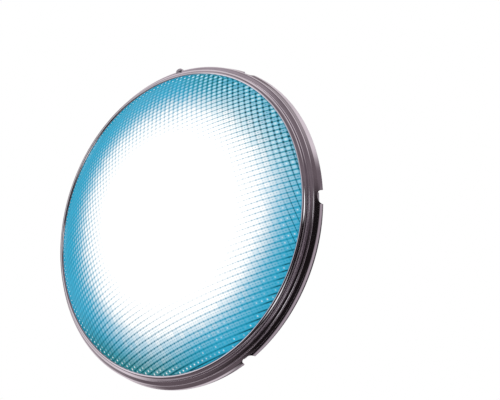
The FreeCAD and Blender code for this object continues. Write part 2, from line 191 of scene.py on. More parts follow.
def arc(start, middle, end, count=6):
    """Points after start on the circle through three points."""
    ax, ay = start
    bx, by = middle
    cx, cy = end
    turn = 2 * (ax * (by - cy) + bx * (cy - ay) + cx * (ay - by))
    a_square = ax * ax + ay * ay
    b_square = bx * bx + by * by
    c_square = cx * cx + cy * cy
    x = (a_square * (by - cy) + b_square * (cy - ay) + c_square * (ay - by)) / turn
    y = (a_square * (cx - bx) + b_square * (ax - cx) + c_square * (bx - ax)) / turn
    radius = math.hypot(ax - x, ay - y)
    first = math.atan2(ay - y, ax - x)
    sweep = math.remainder(math.atan2(by - y, bx - x) - first, FULL_TURN)
    sweep += math.remainder(math.atan2(cy - y, cx - x) - first - sweep, FULL_TURN)
    angles = [first + sweep * step / count for step in range(1, count + 1)]
    return [(x + radius * math.cos(angle), y + radius * math.sin(angle)) for angle in angles]


def outline(start, *steps):
    """Corner points in millimetres; a pair of points is an arc through the first."""
    points = [start]
    for step in steps:
        if isinstance(step[0], tuple):
            points += arc(points[-1], step[0], step[1])
        else:
            points.append(step)
    return points


def lathe(name, points, segments):
    """Extrude a (radius, y) outline point by point and spin it about the light's axis."""
    clear_selection()
    bpy.ops.mesh.primitive_plane_add(size=MM)
    piece = bpy.context.object
    piece.name = name
    bpy.ops.object.mode_set(mode="EDIT")
    bpy.ops.mesh.merge(type="CENTER")
    first = (points[0][0] * MM, points[0][1] * MM, 0)
    bpy.ops.transform.translate(value=first)
    for here, there in zip(points, points[1:]):
        step = ((there[0] - here[0]) * MM, (there[1] - here[1]) * MM, 0)
        bpy.ops.mesh.extrude_region_move(TRANSFORM_OT_translate={"value": step})
    bpy.ops.mesh.select_all(action="DESELECT")
    shape = bmesh.from_edit_mesh(piece.data)
    for vertex in shape.verts:
        vertex.select = len(vertex.link_edges) == 1
    shape.select_flush_mode()
    bmesh.update_edit_mesh(piece.data)
    bpy.ops.mesh.edge_face_add()
    bpy.ops.mesh.select_all(action="SELECT")
    bpy.ops.mesh.spin(steps=segments, angle=FULL_TURN, center=(0, 0, 0), axis=BACKWARD)
    bpy.ops.object.mode_set(mode="OBJECT")
    tidy_faces(piece)
    return piece


def bar(name, radius, length, centre, axis, sides=32, end_radius=None):
    """Cylinder or cone of given middle, turned to lie along an axis."""
    clear_selection()
    turn = Vector((0, 0, 1)).rotation_difference(Vector(axis)).to_euler()
    bpy.ops.mesh.primitive_cone_add(
        vertices=sides, radius1=radius, radius2=end_radius or radius, depth=length,
        location=centre, rotation=turn,
    )
    piece = bpy.context.object
    piece.name = name
    settle(piece)
    return piece


def brick(name, low, high):
    clear_selection()
    middle = [(a + b) / 2 for a, b in zip(low, high)]
    bpy.ops.mesh.primitive_cube_add(size=1, location=middle)
    piece = bpy.context.object
    piece.name = name
    piece.scale = [b - a for a, b in zip(low, high)]
    settle(piece)
    return piece


def combine(piece, tool, operation):
    """Boolean with a tool that is used up."""
    apply_modifier(piece, "BOOLEAN", "cut", object=tool, operation=operation, solver="MANIFOLD")
    bpy.data.objects.remove(tool)
    if not piece.data.polygons:
        raise RuntimeError(f"the cut left nothing of {piece.name}")


def spun_copies(piece, count, first):
    """Join evenly spaced copies of a piece about the light's axis into one tool."""
    copies = []
    for turn in range(count):
        twin = piece.copy()
        twin.data = piece.data.copy()
        angle = first + FULL_TURN * turn / count
        twin.data.transform(Matrix.Rotation(angle, 4, "Y"))
        bpy.context.collection.objects.link(twin)
        copies.append(twin)
    bpy.data.objects.remove(piece)
    return joined(copies)


def joined(pieces):
    clear_selection()
    for piece in pieces:
        piece.select_set(True)
    bpy.context.view_layer.objects.active = pieces[0]
    bpy.ops.object.join()
    return pieces[0]


def softened_copy(node, name, width=0.0002):
    """Copy of a CAD node with merged faces and eased edges."""
    source = frame["nodes"][node]
    piece = source.copy()
    piece.data = source.data.copy()
    piece.name = name
    piece.parent = None
    bpy.context.collection.objects.link(piece)
    tidy_faces(piece)
    only(piece)
    bpy.ops.object.mode_set(mode="EDIT")
    bpy.ops.mesh.select_all(action="SELECT")
    bpy.ops.mesh.dissolve_limited(angle_limit=math.radians(1))
    bpy.ops.object.mode_set(mode="OBJECT")
    ease_edges(piece, width)
    smooth(piece)
    return piece


def helix(name, root, crest, pitch, start, end, centre, axis, sides=24):
    """Thread of triangular section from start to end along an axis."""
    clear_selection()
    turns = max(1, round((end - start) / pitch))
    pitch = (end - start) / turns
    bpy.ops.mesh.primitive_plane_add(size=MM)
    piece = bpy.context.object
    piece.name = name
    bpy.ops.object.mode_set(mode="EDIT")
    bpy.ops.mesh.merge(type="CENTER")
    bpy.ops.transform.translate(value=(root, 0, start))
    for radius_step in (crest - root, root - crest):
        step = (radius_step, 0, pitch / 2)
        bpy.ops.mesh.extrude_region_move(TRANSFORM_OT_translate={"value": step})
    bpy.ops.object.mode_set(mode="OBJECT")
    apply_modifier(
        piece, "SCREW", "thread", angle=FULL_TURN, screw_offset=pitch, iterations=turns,
        steps=sides, render_steps=sides, use_merge_vertices=True, merge_threshold=MERGE_DISTANCE, axis="Z",
    )
    turn = Vector((0, 0, 1)).rotation_difference(Vector(axis))
    piece.data.transform(Matrix.Translation(centre) @ turn.to_matrix().to_4x4())
    only(piece)
    bpy.ops.object.mode_set(mode="EDIT")
    bpy.ops.mesh.select_all(action="DESELECT")
    bpy.ops.mesh.select_non_manifold()
    bpy.ops.mesh.edge_face_add()
    bpy.ops.object.mode_set(mode="OBJECT")
    tidy_faces(piece)
    return piece


def finish_piece(piece, material, slot, *nodes, body="light"):
    """Give a piece its material and body, and hide the CAD nodes that it stands for. The slot is not used.
    """
    piece.data.materials.clear()
    piece.data.materials.append(material)
    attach(piece, body)
    if nodes:
        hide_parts(*nodes)


# ---------------------------------------------------------------- material helpers

NOISE_ROUGHNESS = 0.55
SOFT_DETAIL = 3.0
FINE_DETAIL = 4.0
NOISE_SPREAD = (0.3, 0.7)
MARK_DEPTH = 0.1 * MM
GRAIN_DEPTH = 0.2 * MM


class NodeWriter:
    """Small writer for the nodes of one tree."""

    def __init__(self, tree):
        self.tree = tree

    def add(self, kind, inputs=None, **settings):
        made = self.tree.nodes.new(kind)
        for key, value in settings.items():
            setattr(made, key, value)
        for key, value in (inputs or {}).items():
            self.feed(made.inputs[key], value)
        return made

    def feed(self, socket, value):
        if isinstance(value, bpy.types.NodeSocket):
            self.tree.links.new(value, socket)
        else:
            socket.default_value = value

    def calc(self, operation, first, second=0.0, third=0.0):
        made = self.add("ShaderNodeMath", {0: first, 1: second, 2: third}, operation=operation)
        return made.outputs[0]

    def times(self, first, *others):
        for other in others:
            first = self.calc("MULTIPLY", first, other)
        return first

    def scaled(self, value, factor, offset):
        return self.calc("MULTIPLY_ADD", value, factor, offset)

    def length(self, across, along):
        return self.calc("SQRT", self.calc("ADD", self.times(across, across), self.times(along, along)))

    def band(self, value, low, high, out_low=0.0, out_high=1.0):
        """Smooth step from one value to another."""
        made = self.add(
            "ShaderNodeMapRange",
            {"Value": value, "From Min": low, "From Max": high, "To Min": out_low, "To Max": out_high},
            interpolation_type="SMOOTHSTEP",
        )
        return made.outputs["Result"]

    def mix(self, factor, first, second, blend="MIX"):
        made = self.add("ShaderNodeMix", data_type="RGBA", blend_type=blend)
        shown = {socket.name: socket for socket in made.inputs if socket.enabled}
        self.feed(shown["Factor"], factor)
        self.feed(shown["A"], rgba(first))
        self.feed(shown["B"], rgba(second))
        return [socket for socket in made.outputs if socket.enabled][0]


class Recipe(NodeWriter):
    """Writer for the nodes of one material."""

    def __init__(self, name):
        self.material = bpy.data.materials.new(name)
        self.material.use_nodes = True
        super().__init__(self.material.node_tree)
        self.surface = self.tree.nodes["Principled BSDF"]

    def place(self):
        return self.add("ShaderNodeTexCoord").outputs["Object"]

    def noise(self, scale, detail, vector=None):
        made = self.add("ShaderNodeTexNoise", {
            "Scale": scale, "Detail": detail, "Roughness": NOISE_ROUGHNESS, "Vector": vector or self.place(),
        })
        return made.outputs["Fac"]

    def bump(self, height, strength, distance):
        made = self.add("ShaderNodeBump", {"Strength": strength, "Distance": distance, "Height": height})
        self.feed(self.surface.inputs["Normal"], made.outputs["Normal"])

    def set(self, **values):
        for key, value in values.items():
            self.feed(self.surface.inputs[key.replace("_", " ")], value)


def rgba(colour):
    if isinstance(colour, bpy.types.NodeSocket):
        return colour
    return (*tuple(colour)[:3], 1.0)


def polar_coordinates(recipe, squeeze):
    """Radius, angle and depth about the light's axis, for marks that run round it."""
    parts = recipe.add("ShaderNodeSeparateXYZ", {"Vector": recipe.place()})
    x, y, z = parts.outputs
    angle = recipe.times(recipe.calc("ARCTAN2", z, x), squeeze)
    return recipe.add("ShaderNodeCombineXYZ", {"X": recipe.length(x, z), "Y": y, "Z": angle}).outputs[0]


def toned(colour, factor):
    return [channel * factor for channel in colour]


def steel(name, colour, roughness, marks, scratch_scale, grain=0.06):
    """Steel with fine marks that run round the light's axis."""
    recipe = Recipe(name)
    lines = recipe.noise(scratch_scale, FINE_DETAIL, polar_coordinates(recipe, squeeze=0.004))
    smudge = recipe.noise(28.0, SOFT_DETAIL)
    smudged, lined = toned(colour, 0.86), toned(colour, 0.55)
    shade = recipe.mix(recipe.band(smudge, 0.35, 0.7), smudged, colour)
    shade = recipe.mix(recipe.times(lines, grain), shade, lined)
    worn = recipe.calc("ADD", smudge, recipe.times(lines, 0.5))
    smoothest, roughest = roughness * 0.7, roughness * 1.35
    rough = recipe.band(worn, 0.4, 1.1, smoothest, roughest)
    recipe.set(Base_Color=shade, Metallic=1.0, Roughness=rough)
    recipe.bump(lines, marks, MARK_DEPTH)
    return recipe.material


def moulded(name, colour, roughness, grain_scale, lift=0.12, bump=0.12):
    """Rubber, plastic or board with a fine grain and slight cloudiness."""
    recipe = Recipe(name)
    grain = recipe.noise(grain_scale, FINE_DETAIL)
    cloud = recipe.noise(40.0, detail=2.0)
    darker = toned(colour, 1 - lift)
    lighter = [min(1.0, c * (1 + lift) + 0.004) for c in colour]
    smoothest, roughest = roughness * 0.85, min(1.0, roughness * 1.15)
    recipe.set(
        Base_Color=recipe.mix(recipe.band(cloud, *NOISE_SPREAD), darker, lighter),
        Roughness=recipe.band(grain, *NOISE_SPREAD, smoothest, roughest),
    )
    recipe.bump(grain, bump, GRAIN_DEPTH)
    return recipe.material


def brass(name):
    """Nickel-bronze with turned marks and slight tarnish."""
    recipe = Recipe(name)
    lines = recipe.noise(2600.0, SOFT_DETAIL, polar_coordinates(recipe, squeeze=0.002))
    tarnish = recipe.noise(90.0, FINE_DETAIL)
    clean, tarnished = (0.72, 0.52, 0.23), (0.36, 0.24, 0.10)
    smoothest, roughest = 0.22, 0.42
    shade = recipe.mix(recipe.band(tarnish, 0.45, 0.72), clean, tarnished)
    rough = recipe.band(tarnish, *NOISE_SPREAD, smoothest, roughest)
    recipe.set(Base_Color=shade, Metallic=1.0, Roughness=rough)
    recipe.bump(lines, 0.12, MARK_DEPTH)
    return recipe.material


class LitGlass(Recipe):
    """Moulded glass lit from behind, the lamp's glow painted on as emission: white middle, blue edge, rows
    of cells that fade between them.

    Most pairs of numbers are where an effect starts and where it is full: X, Z and REACH from the lens's
    axis in metres, GLOW from 0 in the bright middle to about 1 where white turns to blue, ROW, COLUMN and
    GROOVES from 0 in a cell's middle to 1 at its border (2 where row and column add up). FINE_COLUMNS,
    DEEPENED, GROOVE_SHADE_CONTRAST, RIDGE_LEVEL and UNLIT_LEVEL are a slope and a base instead.
    """

    GLOW_MIDDLE = (0.017, -0.006)
    GLOW_HALF_SIZE = (0.093, 0.099)
    GLOW_JITTER = 0.05
    WHITE_GLOW = (1.27, 0.73)
    # Painted glare: where the white of the glow's middle is raised to full.
    BLOWN_OUT_GLOW = (0.62, 0.42)
    FIRST_CELLS = (0.60, 0.85)
    LAST_CELLS = (1.40, 1.15)
    CELL_LEVEL = 0.30
    CELL_CONTRAST = 0.95
    WHITE_FALL = 1.6
    WHITE_LEVEL = 0.955

    BLUER_REACH = (0.080, 0.122)
    BLUER_X = (-0.010, 0.040)
    BLUER_Z = (0.040, -0.070)
    BLUER_BY = 0.20

    BROKEN_SLOPE = -0.6
    BROKEN_UP = (-0.050, 0.030)
    FINE_COLUMNS = (0.45, 0.15)
    CORNERS = 0.32
    ROWS = 0.26

    LOW = (-0.050, -0.115)
    LEFT = (0.060, -0.020)
    DEEP_REACH = (0.098, 0.124)
    DEEPENED = (0.85, 0.08)
    # Painted shade in the grooves between cells, then a random tone for each cell.
    GROOVE_SHADE_CONTRAST = (-0.70, -0.45)
    RIDGE_LEVEL = (0.10, 1.06)

    # Painted shade and painted highlights on the cells at the upper right.
    SHADED_SIDE = (0.72, 0.69)
    SHADED = (0.078, 0.112)
    SHADED_RELIEF = (0.16, 0.46)
    SHADED_MOST = 0.85
    HIGHLIT_GROOVES = (0.70, 0.15)
    HIGHLIT_CHANCE = (0.1, 0.5)
    HIGHLIT_MOST = 0.42
    HIGHLIT_COLOUR = (0.62, 0.86, 0.92)

    # Dark marks painted where no light reaches the cells.
    DASHED = (0.090, 0.114)
    DASH_COLUMN = (0.34, 0.60)
    DASH_ROW = (0.04, 0.30)
    UNLIT_STRIP_X = (0.110, 0.117)
    UNLIT_STRIP_COLUMN = (0.72, 0.92)
    RIM_REACH = (0.1165, 0.1215)
    RIM_Z = (-0.020, -0.050)
    RIM_X = (-0.020, 0.020)
    RIM_ROW = (0.45, 0.80)
    UNLIT_LEVEL = (0.35, 0.62)

    # Painted highlights: glints in the middle of some cells on the right and of each cell along the rim.
    CELL_GLINT_REACH = (0.080, 0.105)
    CELL_GLINT_X = (0.0, 0.045)
    CELL_GLINT_CHANCE = (0.35, 0.9)
    CELL_GLINT_MOST = 0.55
    RIM_GLINT_REACH = (0.1165, 0.1205)
    RIM_GLINT_X = (0.060, 0.020)
    GLINT_GROOVES = (0.13, 0.02)
    GLINT_STRENGTH = 0.85

    DARKENED = 0.90
    ROUGHNESS = 0.12
    WET_INDEX = 1.1

    def __init__(self, sizes, colours):
        super().__init__("lit_prism_glass")
        self.colours = colours
        self.measure_cells(sizes)
        self.measure_places()
        shade = self.with_painted_glints(self.with_unlit_cells(self.lit_cells()))
        self.set(
            Base_Color=self.mix(self.DARKENED, shade, (0.0, 0.0, 0.0)),
            # The lamp's glow through the glass, with its painted highlights and painted shade, is painted on
            # as emission.
            Emission_Color=shade,
            Emission_Strength=1.0,
            Roughness=self.ROUGHNESS,
            IOR=self.WET_INDEX,
        )

    def measure_cells(self, sizes):
        """Grooves of the cells, of facets half their size, and a chance value for each cell."""
        turned = self.add("ShaderNodeMapping", {
            "Vector": self.place(),
            "Rotation": (0, sizes.cell_turn, 0),
            "Scale": [1 / sizes.cell_pitch] * 3,
        }).outputs[0]
        cell = self.add("ShaderNodeSeparateXYZ", {"Vector": turned})
        self.column = self.groove(cell.outputs["X"])
        self.row = self.groove(cell.outputs["Z"])
        self.fine_column = self.groove(self.times(cell.outputs["X"], 2.0))
        self.fine_row = self.groove(self.times(cell.outputs["Z"], 2.0))
        self.both = self.calc("ADD", self.row, self.column)
        number = self.add("ShaderNodeVectorMath", {0: turned}, operation="FLOOR")
        flat = self.add("ShaderNodeVectorMath", {0: number.outputs[0], 1: (1, 0, 1)}, operation="MULTIPLY")
        self.chance = self.add("ShaderNodeTexWhiteNoise", {"Vector": flat.outputs[0]}).outputs["Value"]

    def groove(self, along):
        """0 in the middle of a cell, 1 in the groove at its border."""
        across = self.scaled(self.calc("FRACT", along), 2.0, -1.0)
        return self.times(across, across)

    def measure_places(self):
        """Place on the lens, distance from its axis, and distance from the middle of the glow."""
        parts = self.add("ShaderNodeSeparateXYZ", {"Vector": self.place()})
        self.x = parts.outputs["X"]
        self.z = parts.outputs["Z"]
        self.reach = self.length(self.x, self.z)
        away = [
            self.calc("DIVIDE", self.calc("SUBTRACT", value, middle), half)
            for value, middle, half in zip((self.x, self.z), self.GLOW_MIDDLE, self.GLOW_HALF_SIZE)
        ]
        jitter = self.scaled(self.chance, self.GLOW_JITTER, -self.GLOW_JITTER / 2)
        glow = self.calc("ADD", self.length(*away), jitter)
        bluer = self.times(
            self.band(self.reach, *self.BLUER_REACH),
            self.band(self.x, *self.BLUER_X),
            self.band(self.z, *self.BLUER_Z),
        )
        self.glow = self.scaled(bluer, self.BLUER_BY, glow)

    def lit_cells(self):
        """White that breaks up into cells and fades to blue."""
        self.relief = self.cell_relief()
        fade = self.times(self.band(self.glow, *self.FIRST_CELLS), self.band(self.glow, *self.LAST_CELLS))
        lit = self.times(self.calc("SUBTRACT", self.CELL_LEVEL, self.relief), fade)
        lit = self.scaled(lit, self.CELL_CONTRAST, self.band(self.glow, *self.WHITE_GLOW))
        lit = self.calc("MINIMUM", self.calc("MAXIMUM", lit, 0.0), 1.0)
        lit = self.calc("POWER", lit, self.WHITE_FALL)
        full = self.colours.glow_white
        # Painted glare: where the glow is brightest its white is raised to full.
        blown_out = self.band(self.glow, *self.BLOWN_OUT_GLOW)
        white = self.mix(blown_out, toned(full, self.WHITE_LEVEL), full)
        return self.mix(lit, self.blue(), white)

    def cell_relief(self):
        """Whole grooves on the left; finer facets with stronger corners and rows on the right."""
        lattice = self.times(self.both, 0.5)
        facets = self.times(self.fine_row, self.scaled(self.fine_column, *self.FINE_COLUMNS))
        corner = self.times(self.row, self.column)
        facets = self.scaled(corner, self.CORNERS, self.scaled(self.row, self.ROWS, facets))
        dotted = self.band(self.scaled(self.z, self.BROKEN_SLOPE, self.x), *self.BROKEN_UP)
        mixed = self.add("ShaderNodeMix", {"Factor": dotted, "A": lattice, "B": facets})
        return mixed.outputs["Result"]

    def blue(self):
        """Blue that is deeper at the rim, with painted shade in the grooves between cells that is stronger
        at the lower left.
        """
        lower_left = self.times(self.band(self.z, *self.LOW), self.band(self.x, *self.LEFT))
        deep = self.times(self.band(self.reach, *self.DEEP_REACH), self.scaled(lower_left, *self.DEEPENED))
        blue = self.mix(deep, self.colours.glow_blue, self.colours.glow_deep)
        contrast = self.scaled(lower_left, *self.GROOVE_SHADE_CONTRAST)
        tone_and_groove_shade = self.scaled(self.relief, contrast, self.scaled(self.chance, *self.RIDGE_LEVEL))
        grey = self.add("ShaderNodeCombineColor", {0: tone_and_groove_shade, 1: tone_and_groove_shade, 2: tone_and_groove_shade}).outputs[0]
        return self.mix(1.0, blue, grey, "MULTIPLY")

    def with_unlit_cells(self, shade):
        """Paint shade and highlights into the cells at the upper right; paint rows dark where no light
        reaches, there and at the low rim.
        """
        across, along = self.SHADED_SIDE
        toward = self.calc("ADD", self.times(self.x, across), self.times(self.z, along))
        edge = self.band(toward, *self.SHADED)
        shaded = self.times(edge, self.band(self.relief, *self.SHADED_RELIEF, 0.0, self.SHADED_MOST))
        shade = self.mix(shaded, shade, self.colours.glow_deep)
        highlit = self.times(
            self.band(self.both, *self.HIGHLIT_GROOVES, 0.0, self.HIGHLIT_MOST),
            edge,
            self.band(self.chance, *self.HIGHLIT_CHANCE),
        )
        shade = self.mix(highlit, shade, self.HIGHLIT_COLOUR)
        dash = self.times(
            self.band(toward, *self.DASHED),
            self.band(self.column, *self.DASH_COLUMN),
            self.band(self.row, *self.DASH_ROW),
        )
        # A thin strip painted dark down the cells near the right rim, where no light reaches.
        thread = self.times(self.band(self.x, *self.UNLIT_STRIP_X), self.band(self.column, *self.UNLIT_STRIP_COLUMN))
        rim = self.times(
            self.band(self.reach, *self.RIM_REACH),
            self.band(self.z, *self.RIM_Z),
            self.band(self.x, *self.RIM_X),
            self.band(self.row, *self.RIM_ROW),
        )
        dark = self.calc("MAXIMUM", self.calc("MAXIMUM", dash, thread), rim)
        dark = self.times(dark, self.scaled(self.chance, *self.UNLIT_LEVEL))
        return self.mix(dark, shade, self.colours.glow_unlit)

    def with_painted_glints(self, shade):
        """Paint highlights into the middle of some cells on the right, and of each cell along the rim
        elsewhere.
        """
        cell_glint = self.times(
            self.band(self.reach, *self.CELL_GLINT_REACH),
            self.band(self.chance, *self.CELL_GLINT_CHANCE),
            self.band(self.x, *self.CELL_GLINT_X, 0.0, self.CELL_GLINT_MOST),
        )
        glint = self.times(self.band(self.reach, *self.RIM_GLINT_REACH), self.band(self.x, *self.RIM_GLINT_X))
        glint = self.times(self.calc("MAXIMUM", cell_glint, glint), self.band(self.both, *self.GLINT_GROOVES))
        return self.mix(self.times(glint, self.GLINT_STRENGTH), shade, self.colours.glow_white)


# ---------------------------------------------------------------- pieces


class POOLLIGHT_OT_lens(bpy.types.Operator):
    """Model the domed lens with its grid of moulded cells"""

    bl_idname = "poollight.lens"
    bl_label = "Lens"

    EDGE = 125.2 * MM
    BACK = -5.0 * MM
    FLANGE_INNER = 118.0 * MM
    GLASS = 6.0 * MM
    STEPS_IN_CELL = 4
    INNER_RINGS = (1.0, 0.8, 0.6, 0.4, 0.2)

    def execute(self, context):
        sizes = context.scene.pool_light_sizes
        piece = self.cell_sheet(sizes)
        self.trim(piece)
        self.dome(piece, sizes)
        self.close_back(piece, sizes)
        smooth(piece, degrees=60)
        glass = LitGlass(sizes, context.scene.pool_light_colours)
        finish_piece(piece, glass.material, "lens_glass", "lens")
        return {"FINISHED"}

    def cell_sheet(self, sizes):
        """Flat grid, finer than the cells, turned to face along the light's axis."""
        cells = 2 * math.ceil(self.EDGE / sizes.cell_pitch)
        clear_selection()
        bpy.ops.mesh.primitive_grid_add(
            x_subdivisions=cells * self.STEPS_IN_CELL, y_subdivisions=cells * self.STEPS_IN_CELL,
            size=cells * sizes.cell_pitch, rotation=(math.pi / 2, 0, 0),
        )
        piece = bpy.context.object
        piece.name = "prism_lens"
        settle(piece)
        return piece

    def trim(self, piece):
        """Keep the round middle of the sheet and pull its edge to a circle."""
        shape = bmesh.new()
        shape.from_mesh(piece.data)
        outside = [f for f in shape.faces if f.calc_center_median().length > self.EDGE]
        bmesh.ops.delete(shape, geom=outside, context="FACES")
        for vertex in shape.verts:
            if vertex.is_boundary:
                vertex.co *= self.EDGE / vertex.co.length
        shape.to_mesh(piece.data)
        shape.free()

    def dome(self, piece, sizes):
        """Lift the sheet to the sphere and crown each cell."""
        count = len(piece.data.vertices)
        places = np.empty(count * 3)
        piece.data.vertices.foreach_get("co", places)
        places = places.reshape(count, 3)
        cell_x = places[:, 0] / sizes.cell_pitch
        cell_z = places[:, 2] / sizes.cell_pitch
        crown = (1 - (2 * (cell_x % 1) - 1) ** 2) * (1 - (2 * (cell_z % 1) - 1) ** 2)
        turn = sizes.cell_turn
        x = places[:, 0] * math.cos(turn) - places[:, 2] * math.sin(turn)
        z = places[:, 0] * math.sin(turn) + places[:, 2] * math.cos(turn)
        square = x ** 2 + z ** 2
        front = LENS_BOX[0][1] + sizes.dome_radius
        sunk = sizes.cell_relief * (1 - crown)
        places[:, 0] = x
        places[:, 2] = z
        places[:, 1] = front - np.sqrt(sizes.dome_radius ** 2 - square) + sunk
        piece.data.vertices.foreach_set("co", places.ravel())
        piece.data.update()

    def close_back(self, piece, sizes):
        """Extrude the edge into the flange, then inwards along the inner dome."""
        only(piece)
        bpy.ops.object.mode_set(mode="EDIT")
        bpy.ops.mesh.select_all(action="DESELECT")
        bpy.ops.mesh.select_non_manifold()
        rings = [(self.EDGE, self.BACK), (self.FLANGE_INNER, self.BACK)]
        inner = sizes.dome_radius - self.GLASS
        centre = LENS_BOX[0][1] + sizes.dome_radius
        for part in self.INNER_RINGS:
            radius = self.FLANGE_INNER * part
            rings.append((radius, centre - math.sqrt(inner ** 2 - radius ** 2)))
        for radius, y in rings:
            bpy.ops.mesh.extrude_region()
            shape = bmesh.from_edit_mesh(piece.data)
            for vertex in shape.verts:
                if vertex.select:
                    flat = Vector((vertex.co.x, 0, vertex.co.z)).normalized() * radius
                    vertex.co = (flat.x, y, flat.z)
            bmesh.update_edit_mesh(piece.data)
        bpy.ops.mesh.edge_face_add()
        bpy.ops.mesh.select_all(action="SELECT")
        bpy.ops.mesh.normals_make_consistent(inside=False)
        bpy.ops.object.mode_set(mode="OBJECT")


class POOLLIGHT_OT_face_ring(bpy.types.Operator):
    """Model the polished face ring with its lip, ledge, skirt and notches"""

    bl_idname = "poollight.face_ring"
    bl_label = "Face ring"

    PILOT_HEIGHT = 130.3 * MM
    NOTCH_START = RING_BOX[1][2] - 7 * MM
    NOTCH_END = RING_BOX[1][2] + 2 * MM

    # Radius, front and back of each step of the pilot screw's pocket, in mm.
    POCKET_SHELL = (3.6, -8.9, -0.05)
    POCKET_ROOM = (3.0, -7.4, 1.0)
    HEAD_OPENING = (2.75, -20.0, -8.6)
    SHANK_HOLE = (2.05, -9.0, 1.0)

    def execute(self, context):
        sizes = context.scene.pool_light_sizes
        ring = lathe("polished_face_ring", self.section(), sizes.ring_segments)
        self.add_pocket(ring)
        combine(ring, self.notch_cutters(sizes), "DIFFERENCE")
        tidy_faces(ring)
        smooth(ring, degrees=40)
        colours = context.scene.pool_light_colours
        material = steel(
            "polished_steel", colours.polished_steel,
            roughness=0.06, marks=0.006, scratch_scale=420.0, grain=0.05,
        )
        finish_piece(ring, material, "face_ring", "face_ring")
        return {"FINISHED"}

    def section(self):
        """Rolled lip, wall, ledge and flared skirt of the stamped sheet."""
        return outline(
            (123.0, -13.7),
            ((124.8, -14.9), (126.6, -14.0)),
            ((127.2, -13.4), (127.4, -12.5)),
            (127.4, -10.6),
            ((127.7, -10.0), (128.2, -9.8)),
            (130.0, -9.8),
            ((131.0, -9.3), (131.4, -8.2)),
            (131.85, -4.8),
            ((131.92, -4.4), (132.05, -4.1)),
            (133.3, -0.4),
            ((133.4, -0.1), (133.2, 0.0)),
            (132.5, 0.0),
            (132.2, -0.3),
            (130.8, -4.2),
            (130.2, -7.7),
            ((130.0, -8.3), (129.5, -8.6)),
            (126.2, -8.6),
            (126.2, -12.1),
            ((125.2, -13.3), (123.9, -13.0)),
        )

    def add_pocket(self, ring):
        """Pressed pocket, seat and holes for the pilot screw at 12 o'clock."""
        self.shape_pocket(ring, self.POCKET_SHELL, "UNION")
        for step in (self.POCKET_ROOM, self.HEAD_OPENING, self.SHANK_HOLE):
            self.shape_pocket(ring, step, "DIFFERENCE")

    def shape_pocket(self, ring, step, operation):
        radius, front, back = (value * MM for value in step)
        middle = (0, (front + back) / 2, self.PILOT_HEIGHT)
        combine(ring, bar("pocket", radius, back - front, middle, BACKWARD, sides=40), operation)

    def notch_cutters(self, sizes):
        half = sizes.notch_width / 2
        low, high = self.NOTCH_START, self.NOTCH_END
        end = bar("notch", half, high - low, (0, 0, (low + high) / 2), (0, 0, 1), sides=40)
        mouth = brick("notch_mouth", (-half, 0, low), (half, half, high))
        combine(end, mouth, "UNION")
        return spun_copies(end, sizes.notch_count, FULL_TURN / 12)


class POOLLIGHT_OT_housing(bpy.types.Operator):
    """Model the spun housing bowl"""

    bl_idname = "poollight.housing"
    bl_label = "Housing bowl"

    def execute(self, context):
        bowl = lathe("housing_bowl", self.section(), segments=160)
        smooth(bowl, degrees=40)
        colours = context.scene.pool_light_colours
        material = steel(
            "satin_housing_steel", colours.satin_steel,
            roughness=0.30, marks=0.22, scratch_scale=1500.0, grain=0.16,
        )
        finish_piece(bowl, material, "housing_steel", "housing")
        return {"FINISHED"}

    def section(self):
        """Flange, short straight wall, bowed side and flat floor, in sheet."""
        return outline(
            (9.1, 92.0),
            (43.0, 92.0),
            ((50.5, 90.2), (54.0, 86.0)),
            ((80.0, 58.0), (100.0, 20.0)),
            (100.0, 0.6),
            ((100.7, -1.1), (102.4, -1.8)),
            (126.0, -1.8),
            (126.0, -3.0),
            (100.4, -3.0),
            ((99.2, -2.4), (98.8, -1.0)),
            (98.8, 20.0),
            ((79.1, 57.1), (53.2, 85.2)),
            ((49.8, 89.2), (43.0, 90.8)),
            (9.1, 90.8),
        )


